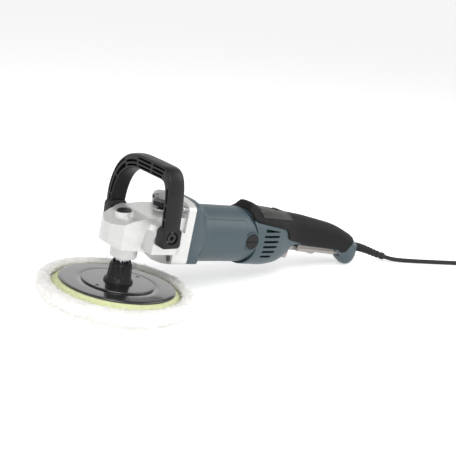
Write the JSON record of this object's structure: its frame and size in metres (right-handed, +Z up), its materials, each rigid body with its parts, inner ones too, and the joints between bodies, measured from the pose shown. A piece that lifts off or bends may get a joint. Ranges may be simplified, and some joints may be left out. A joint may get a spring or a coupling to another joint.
{
  "type": "rotary polisher",
  "caption": "Corded rotary polisher with loop handle, paddle trigger, speed dial and wool-bonneted foam pad, standing on pad and tail.",
  "frame": {"origin": "on the ground under the middle of the tool's own bounding box, cord left out", "axes": "+X towards the tail and cord, +Z up, +Y to the tool's far side; the tool leans back 9.2 degrees onto pad and tail"},
  "size_m": [0.8707, 0.256, 0.21],
  "materials": {
    "cast_aluminium": "bead-blasted casting",
    "steel": "ground",
    "black_steel": "black oxide",
    "copper": "lacquered wire",
    "brass": "plain",
    "carbon": "pressed carbon",
    "housing_plastic": "fine-textured glass-filled nylon",
    "grip_rubber": "soft overmould",
    "black_plastic": "satin moulding",
    "grey_plastic": "satin moulding",
    "paddle_plastic": "satin moulding",
    "tab_plastic": "satin moulding",
    "circuit": "circuit board",
    "cord_rubber": "matt sheath",
    "plate_plastic": "polished",
    "foam": "open-cell foam",
    "wool": "sheepskin nap"
  },
  "bodies": {
    "tool": {"gear_housing": "cast_aluminium", "gear_cover": "cast_aluminium", "cover_screws": "black_steel", "gear_case_plug": "black_steel", "lower_bearing": "steel", "upper_bearing": "steel", "front_bearing": "steel", "rear_bearing": "steel", "bearing_cup": "black_plastic", "stator_core": "steel", "field_coils": "copper", "air_baffle": "black_plastic", "brush_holders": "brass", "carbon_brushes": "carbon", "brush_springs": "steel", "brush_caps": "black_plastic", "motor_housing": "housing_plastic", "housing_screws": "steel", "rear_shell_left": "housing_plastic", "rear_shell_right": "housing_plastic", "soft_grip_left": "grip_rubber", "soft_grip_right": "grip_rubber", "shell_screws": "steel", "dial_cover": "grey_plastic", "speed_module": "circuit", "trigger_switch": "black_plastic", "trigger_pin": "steel", "cord_clamp": "black_plastic", "strain_relief": "cord_rubber", "power_cord": "cord_rubber", "cord_coil": "cord_rubber", "cord_tie": "black_plastic", "plug_body": "cord_rubber", "plug_pins": "steel", "loop_handle": "black_plastic", "handle_bolts": "black_steel", "handle_washers": "steel", "lock_spring": "steel"},
    "spindle": {"spindle": "steel", "ring_gear": "steel", "pad_hub": "black_plastic", "backing_plate": "plate_plastic", "foam_disc": "foam", "wool_bonnet": "wool"},
    "armature": {"pinion": "steel", "armature_shaft": "steel", "armature_core": "copper", "commutator": "brass", "cooling_fan": "black_plastic"},
    "lock": {"lock_button": "black_plastic"},
    "trigger": {"paddle_trigger": "paddle_plastic", "lock_off_pin": "steel"},
    "lock_off": {"lock_off_lever": "tab_plastic"},
    "plunger": {"switch_plunger": "tab_plastic"},
    "dial": {"speed_dial": "black_plastic"}
  },
  "joints": [
    {"name": "spindle_spin", "type": "hinge", "parent": "tool", "child": "spindle", "pos_m": [-0.198, 0, 0.04272], "axis": [0.1594, 0, 0.9872], "continuous": true},
    {"name": "armature_spin", "type": "hinge", "parent": "tool", "child": "armature", "pos_m": [-0.08796, 0, 0.09688], "axis": [0.9872, 0, -0.1594], "continuous": true},
    {"name": "lock_press", "type": "slide", "parent": "tool", "child": "lock", "axis": [-0.1594, 0, -0.9872], "range_m": [0, 0.004], "stiffness_N_per_m": 1500, "springref_m": -0.001},
    {"name": "trigger_squeeze", "type": "hinge", "parent": "tool", "child": "trigger", "pos_m": [0.20841, 0, 0.02522], "axis": [0, 1, 0], "range_deg": [0, 4], "stiffness_Nm_per_rad": 8, "springref_deg": -1.72},
    {"name": "lock_off_push", "type": "hinge", "parent": "trigger", "child": "lock_off", "pos_m": [0.10134, 0, 0.04909], "axis": [0, -1, 0], "range_deg": [0, 30], "stiffness_Nm_per_rad": 0.02, "springref_deg": -17.19},
    {"name": "plunger_slide", "type": "slide", "parent": "tool", "child": "plunger", "axis": [0.1594, 0, 0.9872], "range_m": [0, 0.005]},
    {"name": "speed_turn", "type": "hinge", "parent": "tool", "child": "dial", "pos_m": [0.06632, 0, 0.09881], "axis": [0, 1, 0], "range_deg": [-150, 150]}
  ],
  "couplings": [
    {"joint": "armature_spin", "follows": "spindle_spin", "ratio": 4},
    {"joint": "plunger_slide", "follows": "trigger_squeeze", "m_per_rad": 0.068}
  ]
}
